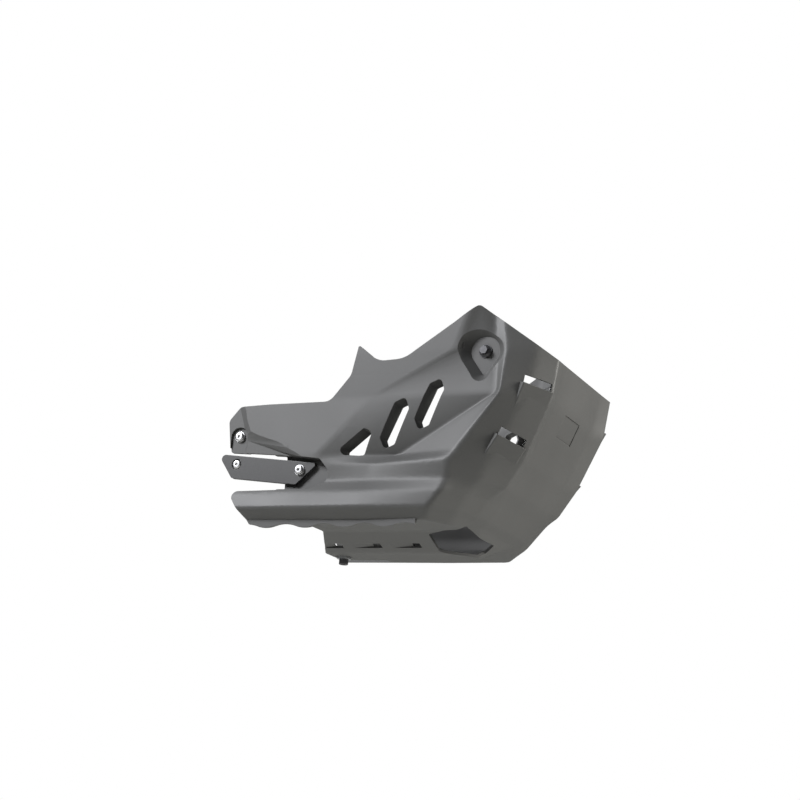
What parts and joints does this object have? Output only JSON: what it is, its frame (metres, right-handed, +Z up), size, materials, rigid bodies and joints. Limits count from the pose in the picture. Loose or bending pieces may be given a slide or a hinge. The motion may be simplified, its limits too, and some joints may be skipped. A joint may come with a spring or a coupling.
{
  "type": "motorcycle skid plate",
  "caption": "Moulded polymer skid plate for an off-road motorcycle, with slotted sides, louvred nose, drain windows, rear bracket strips and fixing bolts.",
  "frame": {"origin": "middle of the free threaded end of the belly bolt, where the plate is held to the engine", "axes": "+X forwards to the nose, +Y to the rider's left, +Z up"},
  "size_m": [0.472, 0.3382, 0.3226],
  "materials": {
    "polymer": "fine grain",
    "bracket": "satin black",
    "black_steel": "black oxide",
    "steel": "bright zinc",
    "aluminium": "turned"
  },
  "bodies": {
    "root": {"skid_plate_shell": "polymer", "rear_bracket_right": "bracket", "rear_bracket_left": "bracket", "front_bolts": "black_steel", "front_washers": "black_steel", "front_collars": "aluminium", "rear_bolts": "steel", "rear_washers": "steel", "rear_collars": "aluminium", "bracket_rear_bolts": "steel", "bracket_rear_spacers": "aluminium", "bracket_front_bolts": "steel", "bracket_front_washers": "steel", "bracket_front_nuts": "steel", "belly_bolt": "black_steel", "belly_collar": "aluminium", "belly_spacer": "aluminium"}
  },
  "joints": []
}
